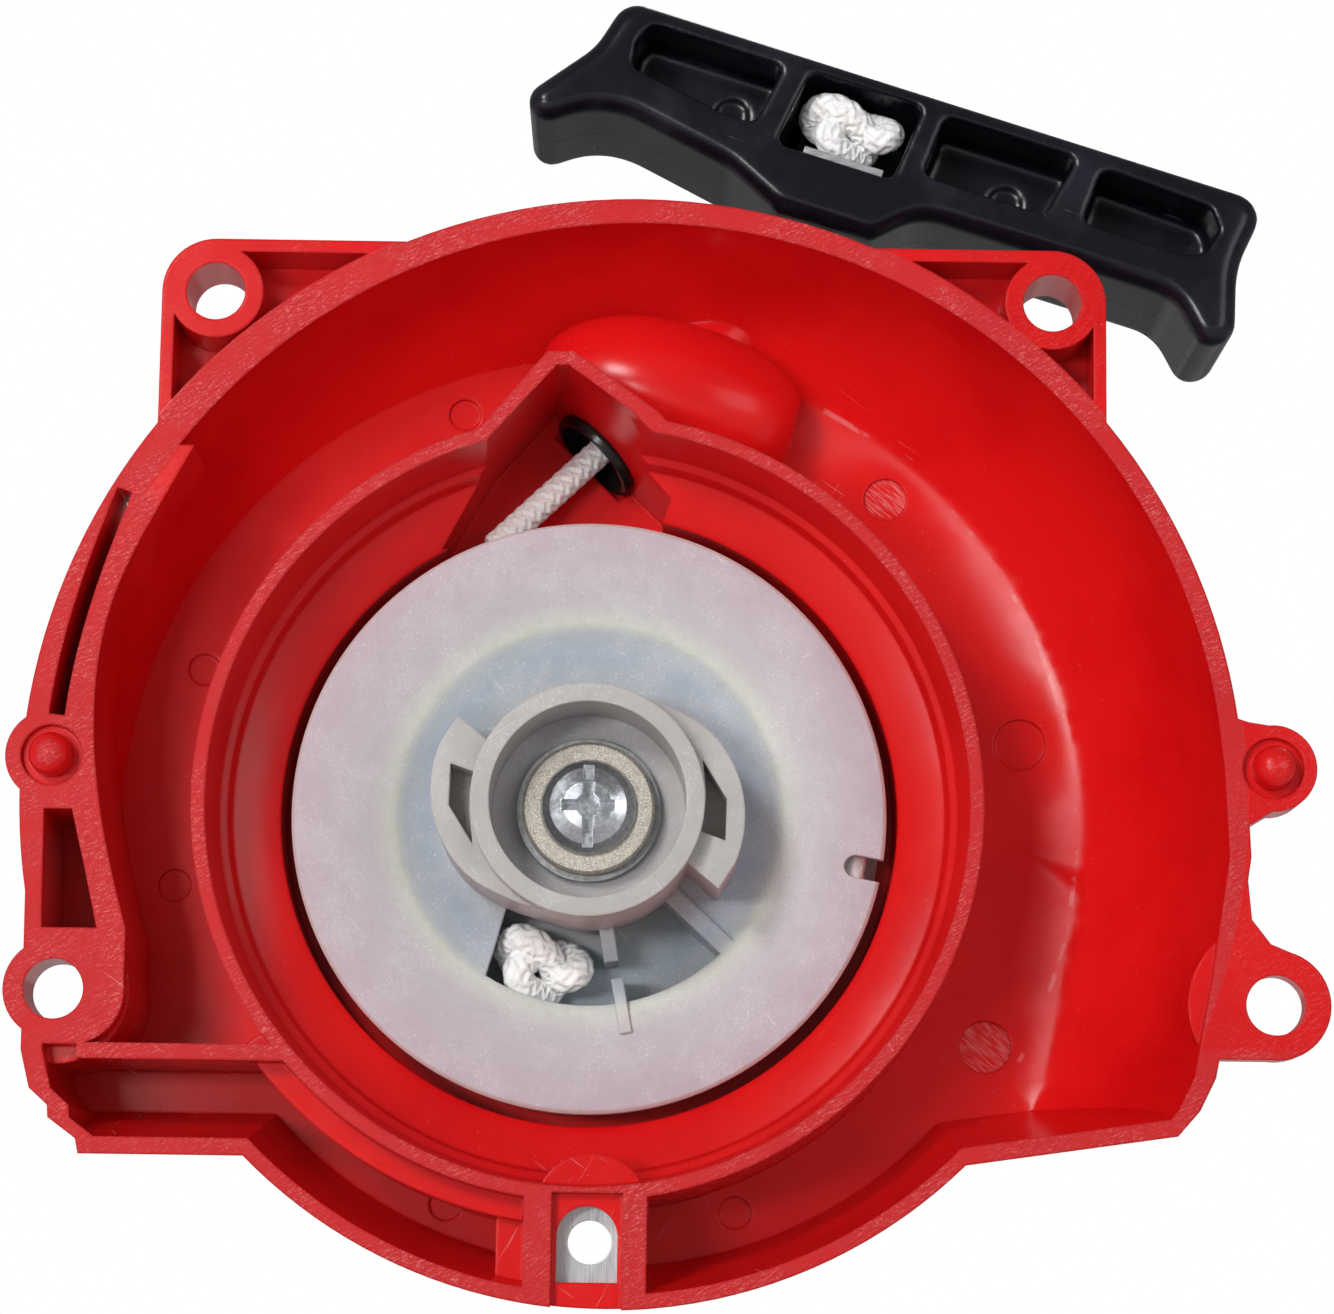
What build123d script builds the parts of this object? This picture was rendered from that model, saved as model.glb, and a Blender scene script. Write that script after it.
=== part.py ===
"""Recoil starter for a small two-stroke engine, seen from its engine side.

Frame, in millimetres: the origin is on the reel's axis in the mounting plane, +X to the right, +Z up,
and +Y into the housing, away from the engine.
"""

from math import cos, radians, sin, sqrt
import os

from build123d import *

# Housing shell
VOLUTE = (4.8, 1.0)  # centre of the outer wall at the mounting plane, as (x, z)
VOLUTE_R = 65.9
CAVITY = (5.6, 1.2)  # centre of the inner edge of the same wall
CAVITY_R = 63.0
WAIST = (4.0, 0.8)  # centre of both walls half way down
FLOOR_CENTRE = (1.2, 0.0)
FLOOR_R = 54.0
FLOOR_Y = 22.0
WALL = 2.3
LIP = (2.4, 0.6)  # centre of the curved lower edge
LIP_R = 54.7
LIP_LEVEL = -38.4  # height of the straight lower edges beside the curve
LIP_RISE = 0.149  # slope of the straight lower edge on the right
LIP_SLANT = 3.2  # how far the lower wall leans in by the floor

# Ring round the reel, and the drum behind it
RING_R = 42.7
RING_BORE_R = 41.2
REEL_WELL_R = 34.2
DRUM_R = 36.4
WELL_Y = 23.0
SPRING_WELL_R = 30.6
SPRING_WELL_Y = 30.4
BACK_Y = 32.6
CORE_R = 43.3  # the ring's and the well's own solids lie within this
STEP_Y = 15.2  # depth at which the ring ends and the well begins
SEAM_Z = 26.0  # height above which the wall is the upper part
BLOCK_SIDES = (-9.8, 7.8)
BLOCK_TOP = -30.0
OUTSIDE = 100.0  # beyond every part of the moulding

# Screw holes, pegs and ears
TOP_HOLES = ((-41.7, 55.8), (50.1, 55.8))
LOW_LEFT_HOLE = (-56.7, -20.95)
LOW_RIGHT_HOLE = (73.9, -20.95)
HOLE_R = 3.2
EAR_Y = 9.5
TAB_Y = 3.2
PEGS = ((-57.8, 4.2), (73.9, 4.6))
PEG_R = 2.3
PEG_TIP_Y = -3.0

# Steel plate in the bottom block
CLAMP_X = 0.65
CLAMP_HOLE = (0.9, -46.9)
CLAMP_Y = 5.0
CLAMP_THICKNESS = 1.2

# Reel and what holds it
REEL_R = 32.9
REEL_FRONT_Y = 12.4
FLANGE = 1.4
GROOVE = 7.0
DRUM_WALL_R = 22.8
DISH_R = 21.0
DISH_Y = 13.3
HUB_R = 8.5
HUB_END_Y = 29.0
CUP_R = 12.6
CUP_BORE_R = 10.6
CUP_RIM_Y = -2.0
CUP_FLOOR_Y = 9.0
CUP_ZONE_R = 17.6  # the cup and its ramps lie within this
RAMP_Y = 0.6
RAMP_POCKET_Y = 5.4
JOURNAL_R = 5.5
RUNNING_GAP = 0.05
COLLAR_R = 7.25
COLLAR_Y = 5.8
SCREW_R = 3.0
INSERT_R = 3.9
INSERT_Y = 20.6
INSERT_END_Y = 30.2

# Recoil spring and its dish
CASSETTE_R = 30.3
CASSETTE_WALL = 1.0
CASSETTE_BACK_Y = 29.5
SPRING_Y = (23.5, 29.3)
STRIP = 0.5
COIL_TURNS = 12

# Rope
ROPE_R = 1.5
COIL_R = 31.3
GUIDE = (0.4, 20.2, 42.7)
PULL_TILT = 8.0  # degrees that the pull leans away from the engine
PULL_ANGLE = 45.0
STEM_MOUTH = 35.6  # distance from the guide to the handle, along the rope

GUIDE_TUBE_R = 4.0
GUIDE_LENGTH = 6.5
GUIDE_FLANGE = 1.2
GUIDE_FLANGE_R = 5.7
OUTLET_R = 5.2  # tube that carries the rope out of the housing
OUTLET_END = 31.5
FLANGE_ROOM = (-3.2, 7.4)  # start and radius of the boss behind the guide's flange
ROPE_WAY_R = 2.8
RUN_START = 16.8  # distance from the guide back to the edge of the coil, along the rope
TAIL_LEAD = 2.2  # length of rope between the straight run and the bend into the stem
REEL_KNOT = (-5.2, 16.6, -16.2)

# Handle, in its own directions: u along the bar, v up the stem
GRIP = (28.7, 79.7)
GRIP_TILT = 17.3
GRIP_MID_Y = 25.2
GRIP_DEPTH = 22.0
GRIP_EDGE = 2.0
KNOT_U = 0.2
WASHER_V = -3.5
WASHER = 0.8
WASHER_SIZE = (9.4, 17.6)
WASHER_FORWARD = 1.35  # distance from the grip's middle to the washer's middle


def turned(points, centre=(0.0, 0.0)):
    """Solid of revolution about a Y axis through centre, from (radius, y) points."""
    return Pos(centre[0], 0, centre[1]) * revolve(make_face(Polyline(*points, close=True)), Axis.Y)


def slab(face, y0, y1):
    """Solid from a face drawn as (x, z), between two depths."""
    return extrude(Plane.XZ.offset(-y0) * face, amount=-(y1 - y0))


def disc(centre, radius, y0, y1):
    return slab(Pos(centre[0], centre[1]) * Circle(radius), y0, y1)


def prism(points, y0, y1):
    return slab(make_face(Polyline(*points, close=True)), y0, y1)


def band(points, width, y0, y1):
    """Thin wall of one width along a smooth line through (x, z) points."""
    return slab(trace(Spline(*points), width), y0, y1)


def circle_at(centre, radius, y):
    return Plane.XZ.offset(-y) * Pos(centre[0], centre[1]) * Circle(radius)


def pull_direction():
    tilt = radians(PULL_TILT)
    angle = radians(PULL_ANGLE)
    return Vector(cos(tilt) * cos(angle), sin(tilt), cos(tilt) * sin(angle))


PULL = pull_direction()
GUIDE_PLANE = Plane(origin=GUIDE, x_dir=(0, 1, 0), z_dir=PULL)


def along_rope(radius, start, end):
    """Round bar on the rope's line, between two distances from the guide."""
    return GUIDE_PLANE.offset(start) * extrude(Circle(radius), end - start)


# ---------------------------------------------------------------- housing


def above_lip(level, radius, y):
    """Face above the lower edge: straight, curved under the reel, then straight and rising."""
    half = sqrt(radius**2 - (level - LIP[1]) ** 2)
    left = (LIP[0] - half, level)
    right = (LIP[0] + half, level)
    far = 90.0
    edges = (
        Line((-far, level), left)
        + ThreePointArc(left, (LIP[0], LIP[1] - radius), right)
        + Line(right, (far, level + LIP_RISE * (far - right[0])))
        + Line((far, level + LIP_RISE * (far - right[0])), (far, far))
        + Line((far, far), (-far, far))
        + Line((-far, far), (-far, level))
    )
    return Plane.XZ.offset(-y) * make_face(edges)


def right_corner_at(y, inset):
    """Section of the straight lower right corner, which leans in towards the floor."""
    lean = 3.4 * (y / FLOOR_Y) + 11.0 * (y / FLOOR_Y) ** 3
    wall = (
        (69.3, 14),
        (70.9, 5),
        (71.4, -5),
        (69.3, -19),
        (67.4, -28.8),
        (65.7, -32.3),
        (63.0, -35.4),
        (60.0, -50),
    )
    points = [(x - inset - lean, z) for x, z in wall] + [(30, -50), (30, 14)]
    return Plane.XZ.offset(-y) * make_face(Polyline(*points, close=True))


def bowl_block(inset, depth, rim_centre, rim_radius):
    """The bowl's body as a solid, drawn in by inset from the outside faces."""
    floor_r = FLOOR_R + WALL - inset
    waist_r = VOLUTE_R - 2.6 - inset
    round_wall = loft(
        [
            circle_at(rim_centre, rim_radius, 0),
            circle_at(WAIST, waist_r, depth * 0.6),
            circle_at(FLOOR_CENTRE, floor_r, depth),
        ]
    )
    left_corner = prism(
        [
            (-60.2 + inset, 0),
            (-59.9 + inset, -27.5),
            (-58.9 + inset, -31.5),
            (-56.9 + inset, -33.3),
            (-56.8 + inset, -34.6),
            (-53.8 + inset, -36.8),
            (-51.0, -50),
            (-25, -50),
            (-25, 0),
        ],
        0,
        depth,
    )
    right_corner = loft([right_corner_at(level * depth, inset) for level in (0, 0.6, 1)])
    slant = loft(
        [
            above_lip(LIP_LEVEL + inset * 0.8, LIP_R - inset * 0.7, 0),
            above_lip(LIP_LEVEL + LIP_SLANT + inset, LIP_R - LIP_SLANT * 0.8 - inset, depth),
        ],
        ruled=True,
    )
    return (round_wall + left_corner + right_corner) & slant


def left_web():
    """Thick left edge with the peg boss, the groove and the pocket."""
    edge_points = ((-43.5, 38.5), (-48.4, 29.3), (-51.9, 20.9), (-53.4, 10.2), (-52.7, 0.4), (-49.2, -14.4))
    inner_edge = Spline(*edge_points)
    outline = (
        inner_edge
        + Line((-49.2, -14.4), (-49.2, -20.5))
        + ThreePointArc((-49.2, -20.5), (-50.6, -25.0), (-54.0, -26.8))
        + Line((-54.0, -26.8), (-75, -26.8))
        + Line((-75, -26.8), (-75, 38.5))
        + Line((-75, 38.5), (-43.5, 38.5))
    )
    return slab(make_face(outline), 0, FLOOR_Y + WALL)


def ring(outer, inner, y0, y1, centre=(0.0, 0.0)):
    return disc(centre, outer, y0, y1) - disc(centre, inner, y0, y1)


def polar(radius, angle):
    return (radius * cos(radians(angle)), radius * sin(radians(angle)))


def top_ear(hole, side):
    """Ear with a round corner at its screw hole; side is -1 on the left and 1 on the right."""
    corner_r = 5.9
    edge = hole[0] + side * corner_r
    inner = hole[0] - side * 24.0
    top = hole[1] + corner_r
    plate = prism([(edge, hole[1]), (edge, 36), (inner, 36), (inner, top), (hole[0], top)], 0, EAR_Y)
    return plate + disc(hole, corner_r, 0, EAR_Y)


def ear_pockets(hole, side):
    """Pockets between the ear's edge ribs, its screw boss and the volute wall."""
    rib = 1.4
    edge = hole[0] + side * (5.9 - rib)
    inner = hole[0] - side * 24.0
    top = hole[1] + 5.9 - rib
    corners = ((edge, 36), (edge, hole[1]), (hole[0], top), (inner, top), (inner, 36))
    face = make_face(Polyline(*corners, close=True))
    face -= Pos(*hole) * Circle(5.2)
    face -= Pos(*VOLUTE) * Circle(VOLUTE_R + 0.5)
    return slab(face, -1, EAR_Y - 2.2)


def peg(centre):
    """Domed locating peg standing in a shallow counterbore."""
    dome = [(0, PEG_TIP_Y), (1.2, PEG_TIP_Y + 0.25), (2.0, PEG_TIP_Y + 0.9), (PEG_R, PEG_TIP_Y + 1.8)]
    return turned(dome + [(PEG_R, 2), (0, 2)], centre)


def peg_counterbore(centre):
    return ring(PEG_R + 1.0, PEG_R, -1, 0.8, centre)


def right_ears():
    """Peg ear and thin screw tab on the right edge."""
    peg_neck = prism([(64, 12), (71.2, 9.6), (73.9, 9.2), (73.9, 0), (71.6, -1.4), (64, -4)], 0, 6.0)
    tab_top = [(64, -7), (71.0, -7.5), (71.4, -11.8), (73.4, -14.4), (76.8, -15.8)]
    tab_neck = prism(tab_top + [(76.8, -22), (74, -26.8), (64, -26.8)], 0, TAB_Y)
    return peg_neck + disc(PEGS[1], 4.7, 0, 6.0) + tab_neck + disc(LOW_RIGHT_HOLE, 5.9, 0, TAB_Y)


def notch_outline(inset):
    """Outward kink of the ring, where the rope leaves the reel."""
    return [
        (-13.0 + inset, 40.2 - inset * 0.3),
        (-5.2 + inset * 0.7, 49.6 - inset),
        (-2.3 - inset * 0.4, 49.6 - inset),
        (7.0 - inset * 0.5, 43.0 - inset),
        (11.5 - inset * 1.4, 38.0),
        (9.0 - inset, 33.0),
        (-18.5 + inset, 30.0),
    ]


def outlet_bulge():
    """Smooth dome over the tube that carries the rope out."""
    stations = ((-14.0, 2.4), (-11.5, 5.6), (-6.5, 8.0), (0.0, 8.9), (6.5, 8.4), (11.5, 6.9), (15.5, 3.6))
    sections = [Plane.YZ.offset(x) * Circle(radius) for x, radius in stations]
    return Pos(7.3, 18.2, 48.8) * Rot(0, 14, 0) * loft(sections)


def behind_guide():
    """Everything on the far side of the wall that the rope guide sits in."""
    return GUIDE_PLANE * extrude(Rectangle(OUTSIDE, OUTSIDE), OUTSIDE)


def flange_boss():
    """Boss under the floor that closes the recess for the guide's flange."""
    start, radius = FLANGE_ROOM
    return along_rope(radius, start, 0.0) & slab(Rectangle(OUTSIDE * 2, OUTSIDE * 2), WELL_Y, OUTSIDE)


def bottom_block():
    """Block below the ring, with two rails, that holds the steel clamp plate."""
    block = prism([(-6.1, -40), (7.0, -40), (7.0, -53.6), (-6.1, -53.6)], 0, FLOOR_Y + 1)
    pad = prism([(-9.1, -42.0), (-6.0, -42.0), (-6.0, -53.0), (-9.1, -53.0)], 4.5, FLOOR_Y + 1)
    return block + pad


def bottom_block_cuts():
    face_recess = prism([(-3.1, -41.8), (4.4, -41.8), (4.4, -56), (-3.1, -56)], -1, 1.5)
    half = 3.25
    arch = make_face(
        Line((CLAMP_X - half, -51.2), (CLAMP_X - half, -46.4))
        + ThreePointArc((CLAMP_X - half, -46.4), (CLAMP_X, -46.4 + half), (CLAMP_X + half, -46.4))
        + Line((CLAMP_X + half, -46.4), (CLAMP_X + half, -51.2))
        + Line((CLAMP_X + half, -51.2), (CLAMP_X - half, -51.2))
    )
    slot_corners = [(-3.5, -42.4), (4.8, -42.4), (4.8, -51.6), (-3.5, -51.6)]
    slot = prism(slot_corners, CLAMP_Y, CLAMP_Y + CLAMP_THICKNESS)
    return face_recess + slab(arch, 0, CLAMP_Y) + slot + disc(CLAMP_HOLE, 3.4, CLAMP_Y, BACK_Y)


def floor_marks():
    """Shallow round marks left by the mould's ejector pins."""
    marks = [
        ((48.5, 9.9), 2.9),
        ((44.6, -24.3), 2.9),
        ((33.1, 38.0), 2.4),
        ((-15.1, 47.2), 1.8),
        ((-46.6, -7.4), 1.8),
        ((-44.0, 17.2), 1.8),
        ((-15.4, -42.6), 1.8),
        ((16.8, -43.1), 1.8),
    ]
    depth = 0.3
    return [disc(centre, radius, FLOOR_Y - 1, FLOOR_Y + depth) for centre, radius in marks]


def moulding():
    """The whole red moulding as one solid."""
    depth = FLOOR_Y + WALL
    body = bowl_block(0, depth, VOLUTE, VOLUTE_R)
    for hole, side in zip(TOP_HOLES, (-1, 1)):
        body += top_ear(hole, side)
    body += right_ears()
    body += disc(PEGS[0], 5.0, 0, 8.0)
    body += disc(LOW_LEFT_HOLE, 5.4, 0, 7.5)

    cavity = bowl_block(WALL, FLOOR_Y, CAVITY, CAVITY_R)
    cavity -= left_web()
    cavity -= disc(LOW_LEFT_HOLE, 7.8, 3.0, depth)
    cavity -= disc(LOW_RIGHT_HOLE, 9.3, 1.0, depth)
    body -= cavity

    slope = RING_R + 0.5
    body += turned([(0, 0), (RING_R, 0), (slope, FLOOR_Y), (slope, depth), (0, depth)])
    edge = 3.5
    drum = [(DRUM_R, depth - 1), (DRUM_R, BACK_Y - edge), (DRUM_R - edge, BACK_Y)]
    body += turned([(0, depth - 1)] + drum + [(0, BACK_Y)])
    groove_y = 16.0
    groove = [(DRUM_R, groove_y), (RING_BORE_R - 0.4, groove_y), (RING_BORE_R, BACK_Y), (DRUM_R, BACK_Y)]
    body -= turned(groove)

    outside = bowl_block(0, depth, VOLUTE, VOLUTE_R)
    body += prism(notch_outline(0), 0, depth + 1.0)
    body += outlet_bulge() & outside
    body += along_rope(OUTLET_R, 0.0, OUTLET_END)
    body += flange_boss()
    body += prism([(-54.0, -26.6), (-31.0, -26.6), (-31.0, -28.3), (-54.0, -28.3)], 0, FLOOR_Y + 1)
    body += bottom_block() & outside
    wedge = prism([(0, 0), polar(60, 216), polar(70, 239), polar(60, 262)], 3.0, FLOOR_Y + 1)
    body += ring(45.2, 42.0, 3.0, FLOOR_Y + 1) & wedge
    body += disc((1.0, -43.6), 6.2, 4.5, FLOOR_Y)

    well = [
        (0, -1),
        (RING_BORE_R, -1),
        (RING_BORE_R, 0),
        (RING_BORE_R - 0.7, 9.4),
        (RING_BORE_R - 1.5, 9.8),
        (RING_BORE_R - 1.9, 12.0),
        (37.2, 12.8),
        (35.2, 13.8),
        (REEL_WELL_R, 14.4),
        (REEL_WELL_R, WELL_Y),
        (SPRING_WELL_R, WELL_Y),
        (SPRING_WELL_R, SPRING_WELL_Y),
        (0, SPRING_WELL_Y),
    ]
    half_moon = disc((1.0, -43.6), 6.2, 4.5, 13.5)
    body -= turned(well) - half_moon
    body -= prism(notch_outline(1.5), -1, WELL_Y) - behind_guide()
    body -= along_rope(GUIDE_FLANGE_R + 0.5, -GUIDE_FLANGE - 0.5, 0.0)
    body += disc((0, 0), JOURNAL_R, 20.0, SPRING_WELL_Y + 1)
    body -= disc((0, 0), INSERT_R, 19.0, INSERT_END_Y)
    body -= along_rope(GUIDE_TUBE_R, 0.0, GUIDE_LENGTH)
    body -= along_rope(ROPE_WAY_R, 0.0, OUTLET_END + 1)
    body -= along_rope(ROPE_WAY_R + 1.4, OUTLET_END - 2, OUTLET_END + 1)

    for hole, side in zip(TOP_HOLES, (-1, 1)):
        body -= ear_pockets(hole, side)
        body -= disc(hole, HOLE_R, -1, EAR_Y + 1)
    body -= disc(LOW_LEFT_HOLE, HOLE_R, -1, 9)
    body -= disc(LOW_LEFT_HOLE, 5.8, 7.5, 40)
    body -= disc(LOW_RIGHT_HOLE, HOLE_R, -1, 9)
    body -= disc(LOW_RIGHT_HOLE, 7.3, TAB_Y, 40)
    body -= band([(-50.9, 33.4), (-54.6, 22.4), (-56.8, 13.0), (-57.4, 8.6)], 1.7, -1, 12)
    body -= prism([(-58.4, -1.6), (-55.4, -1.6), (-53.8, -8), (-52.3, -14.4), (-58.2, -14.4)], -1, 16)
    for centre in PEGS:
        body -= peg_counterbore(centre)
        body += peg(centre)
    body -= bottom_block_cuts()
    for mark in floor_marks():
        body -= mark
    return body


def twelve_sided(inner_r, y0, y1):
    """Prism round the reel's axis, with flat sides that clear a circle."""
    return slab(RegularPolygon(inner_r, 12, major_radius=False), y0, y1)


def region(x0, x1, z0, z1, y0=-OUTSIDE, y1=OUTSIDE):
    """Box between two x, two z and two depths."""
    return slab(Pos((x0 + x1) / 2, (z0 + z1) / 2) * Rectangle(x1 - x0, z1 - z0), y0, y1)


def housing_parts():
    """The moulding in solids that meet on flat faces: the wall in four lengths, floor, ring and well."""
    body = moulding()
    core = twelve_sided(CORE_R, -OUTSIDE, OUTSIDE)
    block_left, block_right = BLOCK_SIDES
    everywhere = (-OUTSIDE, OUTSIDE, -OUTSIDE, OUTSIDE)
    inside = body & core
    around = body - core
    wall = around & region(*everywhere, -OUTSIDE, FLOOR_Y)
    solids = {
        "housing": wall & region(-OUTSIDE, OUTSIDE, SEAM_Z, OUTSIDE),
        "housing_left": wall & region(-OUTSIDE, block_left, -OUTSIDE, SEAM_Z),
        "housing_right": wall & region(block_right, OUTSIDE, -OUTSIDE, SEAM_Z),
        "housing_block": wall & region(block_left, block_right, -OUTSIDE, BLOCK_TOP),
        "housing_floor": around & region(*everywhere, FLOOR_Y, OUTSIDE),
        "housing_ring": inside & region(*everywhere, -OUTSIDE, STEP_Y),
        "housing_well": inside & region(*everywhere, STEP_Y, OUTSIDE),
    }
    return solids


# ---------------------------------------------------------------- reel


def ramp_outline(shrink):
    """Outer line of a ratchet ramp: it leaves the cup and winds outward, clockwise."""
    steps = ((75, 12.4), (60, 13.0), (46, 13.9), (33, 15.1), (20, 16.0), (6, 16.7), (-8, 17.1), (-22, 17.2))
    return [polar(radius - shrink, angle) for angle, radius in steps]


def ratchet_ramp():
    """Ramp with a flat end face and a hollow pocket behind its outer wall."""
    end_outer = polar(16.9, -33)
    end_inner = polar(11.6, -30)
    outline = ramp_outline(0)
    face = make_face(
        Spline(*outline)
        + Line(outline[-1], end_outer)
        + Line(end_outer, end_inner)
        + ThreePointArc(end_inner, polar(11.6, 22), polar(11.6, 75))
        + Line(polar(11.6, 75), outline[0])
    )
    ramp = slab(face, RAMP_Y, DISH_Y + 0.5)
    corners = [polar(13.2, 21), polar(12.8, 4), polar(12.6, -14), polar(15.4, -15), polar(15.0, 2)]
    return ramp - prism(corners, RAMP_Y, RAMP_POCKET_Y)


def reel_moulding():
    """The whole nylon moulding as one solid."""
    web_back = DISH_Y + 1.5
    rear_y = REEL_FRONT_Y + FLANGE + GROOVE
    flange = turned(
        [
            (DISH_R - 1.0, DISH_Y),
            (DISH_R + 1.2, REEL_FRONT_Y),
            (REEL_R - 0.4, REEL_FRONT_Y),
            (REEL_R, REEL_FRONT_Y + 0.4),
            (REEL_R, REEL_FRONT_Y + FLANGE),
            (DRUM_WALL_R, REEL_FRONT_Y + FLANGE),
            (DRUM_WALL_R, web_back),
            (DISH_R - 1.0, web_back),
        ]
    )
    body = flange + disc((0, 0), DISH_R, DISH_Y, web_back)
    body += ring(DRUM_WALL_R, DISH_R, REEL_FRONT_Y + FLANGE, rear_y + FLANGE)
    body += disc((0, 0), REEL_R - 0.3, rear_y, rear_y + FLANGE)
    body += disc((0, 0), HUB_R, CUP_FLOOR_Y, HUB_END_Y)
    window = make_face(
        Line(polar(12.0, -135), polar(DISH_R, -122))
        + ThreePointArc(polar(DISH_R, -122), polar(DISH_R, -83), polar(DISH_R, -43.5))
        + Line(polar(DISH_R, -43.5), polar(12.0, -43.5))
        + ThreePointArc(polar(12.0, -43.5), polar(12.0, -89), polar(12.0, -135))
    )
    body -= slab(window, REEL_FRONT_Y - 1, web_back)
    body += disc((0, 0), CUP_R, CUP_RIM_Y, web_back)
    body += ratchet_ramp()
    body += Rot(0, 180, 0) * ratchet_ramp()
    body -= disc((0, 0), CUP_BORE_R, CUP_RIM_Y, CUP_FLOOR_Y)
    body -= disc((0, 0), JOURNAL_R + RUNNING_GAP, CUP_FLOOR_Y, HUB_END_Y)
    ridge_y = REEL_FRONT_Y - 0.35
    for angle, inner, outer, width, top, bottom in (
        (-80.5, 12.0, 16.3, 1.6, DISH_Y, rear_y),
        (-79.5, 18.3, DISH_R + 0.5, 1.3, ridge_y, rear_y),
        (-79.5, DISH_R, 24.4, 1.3, ridge_y, REEL_FRONT_Y + 0.5),
        (-43.0, 12.0, DISH_R + 1.0, 2.0, DISH_Y - 0.5, rear_y),
    ):
        rib = Rot(0, 0, angle) * Pos((inner + outer) / 2, 0) * Rectangle(outer - inner, width)
        body += slab(rib, top, bottom)
    notch_depth = 4.2
    notch = Rot(0, 0, -10.1) * Pos(REEL_R, 0) * SlotOverall(2 * notch_depth, 2.5)
    body -= slab(notch, REEL_FRONT_Y - 1, REEL_FRONT_Y + FLANGE)
    rope_hole = radians(-126)
    groove_mid = REEL_FRONT_Y + FLANGE + GROOVE / 2
    hole = Plane(origin=(0, groove_mid, 0), z_dir=(cos(rope_hole), 0, sin(rope_hole)))
    body -= hole.offset(DISH_R - 1.5) * extrude(Circle(ROPE_R + 0.3), 4)
    return body


def reel_parts():
    """The moulding in two solids that meet on the dish's face: the rope reel and the ratchet cup."""
    body = reel_moulding()
    front = twelve_sided(CUP_ZONE_R, -OUTSIDE, DISH_Y)
    return {"reel": body - front, "ratchet_cup": body & front}


def reel_collar():
    sleeve = ring(JOURNAL_R, SCREW_R + 0.1, COLLAR_Y, 20.0)
    edge = 0.3
    flange = turned(
        [
            (SCREW_R + 0.1, COLLAR_Y),
            (COLLAR_R - edge, COLLAR_Y),
            (COLLAR_R, COLLAR_Y + edge),
            (COLLAR_R, COLLAR_Y + 2.0),
            (SCREW_R + 0.1, COLLAR_Y + 2.0),
        ]
    )
    return flange + sleeve


def thrust_washer():
    return ring(7.9, JOURNAL_R + 0.15, COLLAR_Y + 2.0, COLLAR_Y + 2.8)


def reel_screw():
    """Pan head screw with a cross recess and a straight slot."""
    head_r = 5.25
    head_y = COLLAR_Y - 2.7
    head = turned(
        [
            (0, head_y),
            (2.6, head_y + 0.25),
            (4.2, head_y + 0.9),
            (5.0, head_y + 1.8),
            (head_r, COLLAR_Y - 0.4),
            (head_r - 0.2, COLLAR_Y),
            (0, COLLAR_Y),
        ]
    )
    slot_width = 1.2
    cross_span = 5.8
    slot = slab(Rectangle(slot_width, 3 * head_r), head_y - 1, head_y + 1.3)
    arms = Rectangle(slot_width, cross_span) + Rectangle(cross_span, slot_width)
    cross = slab(arms + Rot(0, 0, 45) * Rectangle(2.6, 2.6), head_y - 1, head_y + 2.1)
    shank_end = 29.6
    return head - slot - cross + disc((0, 0), SCREW_R, COLLAR_Y, shank_end)


def post_insert():
    return ring(INSERT_R, SCREW_R, INSERT_Y, INSERT_END_Y)


# ---------------------------------------------------------------- spring

def spring_cassette():
    """Shallow dish that holds the spring in the back of the housing."""
    wall = ring(CASSETTE_R, CASSETTE_R - CASSETTE_WALL, SPRING_Y[0] - 0.1, SPRING_WELL_Y)
    return wall + ring(CASSETTE_R, HUB_R + 1.0, CASSETTE_BACK_Y, SPRING_WELL_Y)


def recoil_spring():
    """Flat spiral strip made of half turns, hooked on the reel's hub and on the cassette."""
    inner_r = HUB_R + 0.5
    outer_r = CASSETTE_R - CASSETTE_WALL - 0.5
    pitch = (outer_r - inner_r) / COIL_TURNS
    half_turns = []
    for index in range(2 * COIL_TURNS):
        radius = inner_r + pitch * (index + 0.5) / 2
        side = 1 if index % 2 == 0 else -1
        centre_x = side * pitch / 4
        outer = Circle(radius + STRIP / 2) - Circle(radius - STRIP / 2)
        half = outer & Pos(0, side * 2 * outer_r) * Rectangle(5 * outer_r, 4 * outer_r)
        half_turns.append(slab(Pos(centre_x, 0) * half, *SPRING_Y))
    spiral = half_turns[0].fuse(*half_turns[1:])
    return spiral


# ---------------------------------------------------------------- rope


def rope_point(distance):
    return Vector(*GUIDE) + PULL * distance


def rope_coil():
    """Outer shape of the turns wound on the reel."""
    front = REEL_FRONT_Y + FLANGE + 0.1
    back = REEL_FRONT_Y + FLANGE + GROOVE - 0.1
    round_off = 0.8
    return turned(
        [
            (DRUM_WALL_R, front),
            (COIL_R - round_off, front),
            (COIL_R, front + round_off),
            (COIL_R, back - round_off),
            (COIL_R - round_off, back),
            (DRUM_WALL_R, back),
        ]
    )


def rope_run():
    """Straight stretch from the edge of the coil, through the guide, to the handle's stem."""
    return along_rope(ROPE_R, -RUN_START, STEM_MOUTH - TAIL_LEAD)


def grip_point(u, v):
    c, s = cos(radians(GRIP_TILT)), sin(radians(GRIP_TILT))
    return Vector(GRIP[0] + u * c + v * s, GRIP_MID_Y, GRIP[1] - u * s + v * c)


def rope_tail():
    """The end of the rope, turned up the stem to its knot."""
    start = rope_point(STEM_MOUTH - TAIL_LEAD)
    corner = rope_point(STEM_MOUTH)
    end = grip_point(KNOT_U, WASHER_V)
    path = FilletPolyline(start, corner, end, radius=5.0)
    section = Plane(origin=start, z_dir=PULL) * Circle(ROPE_R)
    return sweep(section, path)


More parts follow.
